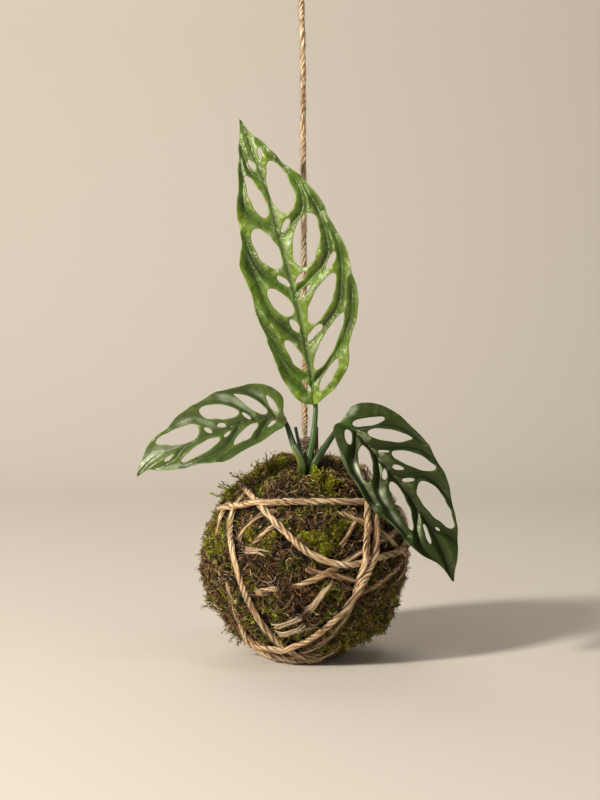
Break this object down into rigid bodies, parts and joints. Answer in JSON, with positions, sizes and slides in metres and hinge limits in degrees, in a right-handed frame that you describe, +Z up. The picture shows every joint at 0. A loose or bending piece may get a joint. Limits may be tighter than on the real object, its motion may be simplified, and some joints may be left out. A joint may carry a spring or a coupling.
{
  "type": "kokedama moss ball plant",
  "caption": "Moss-wrapped plant ball bound in jute twine, growing fenestrated leaves on thin stalks, with a jute hanging cord and eye loop; rests on a small flat spot.",
  "frame": {"origin": "middle of the small flat spot under the moss ball, on the surface that the plant rests on", "axes": "+Z up along the hanging cord; the leaves' upper faces and the front of the plant face -Y, with +X to the right seen from the front"},
  "size_m": [0.1666, 0.1167, 0.4017],
  "materials": {
    "twine": "rough natural jute",
    "moss": "rough fibrous moss",
    "soil": "damp dark peat and clay",
    "leaf_bright": "semi-gloss living leaf",
    "leaf_dark": "semi-gloss living leaf",
    "stem": "smooth green stem",
    "dry_stem": "dry brown stem"
  },
  "bodies": {
    "root": {"binding_twine": "twine", "moss_cover": "moss", "soil_ball": "soil", "rhizome": "stem", "leaf_top": "leaf_bright", "leaf_left": "leaf_dark", "leaf_right": "leaf_dark", "petiole_top": "stem", "petiole_left": "stem", "petiole_right": "stem", "young_shoot": "stem", "old_petiole_stub": "dry_stem", "hanging_knot": "twine", "hanging_cord": "twine", "loop_knot": "twine", "cord_loop": "twine"}
  },
  "joints": []
}
